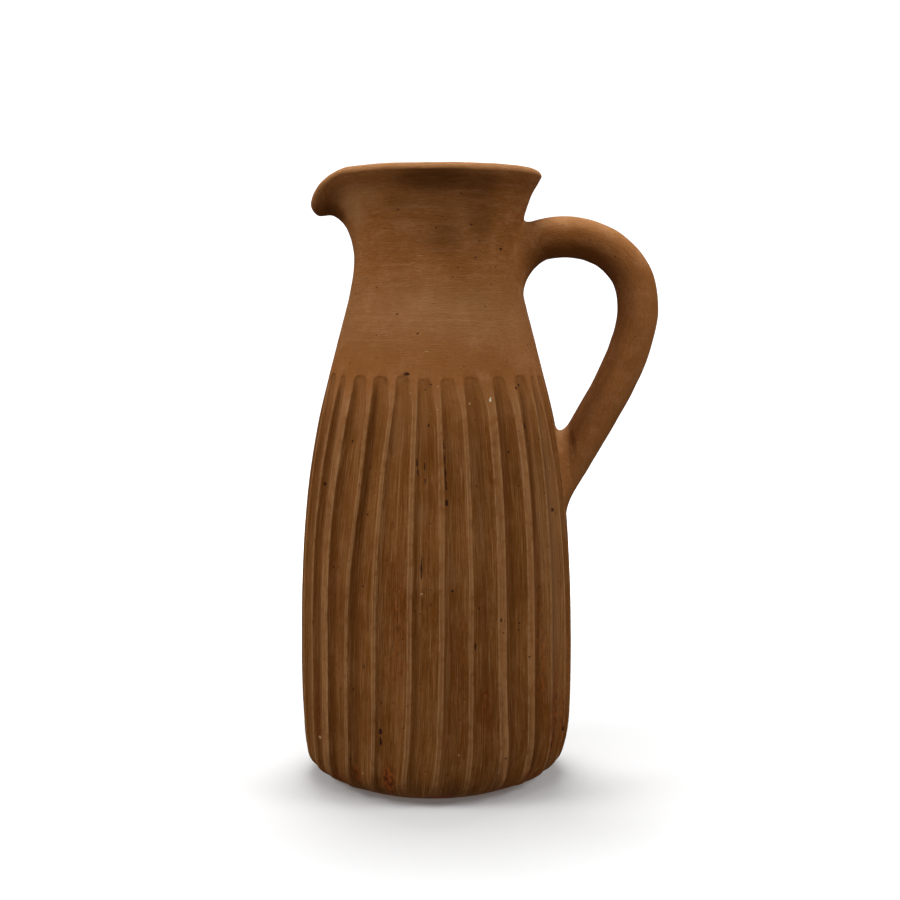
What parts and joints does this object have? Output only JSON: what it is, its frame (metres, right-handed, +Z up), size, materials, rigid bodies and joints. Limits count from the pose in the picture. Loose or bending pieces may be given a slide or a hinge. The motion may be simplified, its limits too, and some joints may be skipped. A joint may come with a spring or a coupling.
{
  "type": "pitcher",
  "caption": "Unglazed clay pitcher with carved vertical flutes, a plain neck with a pulled pouring spout and a rolled loop handle.",
  "frame": {"origin": "centre of the flat underside, on the axis of the vessel, on the surface it stands on", "axes": "+Z up along the axis of the vessel, +X towards the handle, -X towards the spout"},
  "size_m": [0.1649, 0.1261, 0.279],
  "materials": {
    "fired_clay": "matte",
    "joint_clay": "matte"
  },
  "bodies": {
    "root": {"floor_disc": "fired_clay", "fluted_body": "fired_clay", "neck_with_spout": "fired_clay", "handle": "fired_clay", "upper_joint_clay": "joint_clay", "lower_joint_clay": "joint_clay"}
  },
  "joints": []
}
